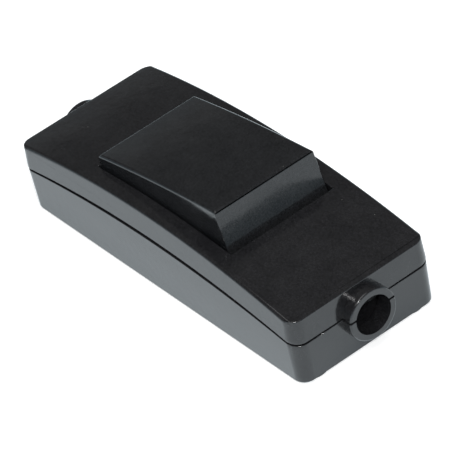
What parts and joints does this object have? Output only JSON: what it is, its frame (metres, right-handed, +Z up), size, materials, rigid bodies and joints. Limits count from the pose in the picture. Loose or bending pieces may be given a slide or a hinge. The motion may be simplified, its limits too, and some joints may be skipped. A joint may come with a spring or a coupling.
{
  "type": "inline cord switch",
  "caption": "Inline cord switch: a two-part moulded housing with arched top and parting line, a wide rocker and a round cord bore in a collar at each end.",
  "frame": {"origin": "middle of the housing's footprint, on its flat underside", "axes": "+X along the cord, towards the rocker's raised end; +Y across the housing; +Z up"},
  "size_m": [0.0888, 0.0328, 0.0257],
  "materials": {
    "housing_plastic": "moulded black thermoplastic, satin to semi-gloss",
    "rocker_plastic": "moulded black thermoplastic, a little smoother than the housing",
    "clamp_plastic": "moulded black thermoplastic",
    "brass": "stamped and turned brass",
    "silver": "silver-faced contact rivet",
    "spring_steel": "drawn wire",
    "screw_steel": "zinc-plated steel"
  },
  "bodies": {
    "housing": {"top_cover": "housing_plastic", "base_shell": "housing_plastic", "live_pivot_strip": "brass", "neutral_pivot_strip": "brass", "live_contact_strip": "brass", "neutral_contact_strip": "brass", "live_fixed_contact": "silver", "neutral_fixed_contact": "silver", "live_in_terminal": "brass", "live_out_terminal": "brass", "neutral_in_terminal": "brass", "neutral_out_terminal": "brass", "earth_terminal": "brass", "terminal_screws": "screw_steel", "earth_screws": "screw_steel", "near_cord_clamp": "clamp_plastic", "far_cord_clamp": "clamp_plastic", "clamp_screws": "screw_steel", "housing_screws": "screw_steel"},
    "rocker": {"rocker": "rocker_plastic", "live_spring": "spring_steel", "neutral_spring": "spring_steel"},
    "live_plunger": {"live_plunger": "brass"},
    "neutral_plunger": {"neutral_plunger": "brass"},
    "live_arm": {"live_seesaw": "brass", "live_moving_contact": "silver"},
    "neutral_arm": {"neutral_seesaw": "brass", "neutral_moving_contact": "silver"}
  },
  "joints": [
    {"name": "rocker_tilt", "type": "hinge", "parent": "housing", "child": "rocker", "pos_m": [0, 0, 0.0123], "axis": [0, 1, 0], "range_deg": [0, 16.4]},
    {"name": "live_arm_tilt", "type": "hinge", "parent": "housing", "child": "live_arm", "pos_m": [0, -0.0069, 0.00629], "axis": [0, 1, 0], "range_deg": [-12, 0]},
    {"name": "neutral_arm_tilt", "type": "hinge", "parent": "housing", "child": "neutral_arm", "pos_m": [0, 0.0069, 0.00629], "axis": [0, 1, 0], "range_deg": [-12, 0]},
    {"name": "live_plunger_slide", "type": "slide", "parent": "rocker", "child": "live_plunger", "axis": [-0.1426, 0, 0.9898], "range_m": [0, 0.0004], "stiffness_N_per_m": 60, "deforming": ["live_spring"]},
    {"name": "neutral_plunger_slide", "type": "slide", "parent": "rocker", "child": "neutral_plunger", "axis": [-0.1426, 0, 0.9898], "range_m": [0, 0.0004], "stiffness_N_per_m": 60, "deforming": ["neutral_spring"]}
  ],
  "couplings": [
    {"joint": "live_arm_tilt", "follows": "rocker_tilt", "ratio": -0.7317},
    {"joint": "neutral_arm_tilt", "follows": "rocker_tilt", "ratio": -0.7317}
  ]
}
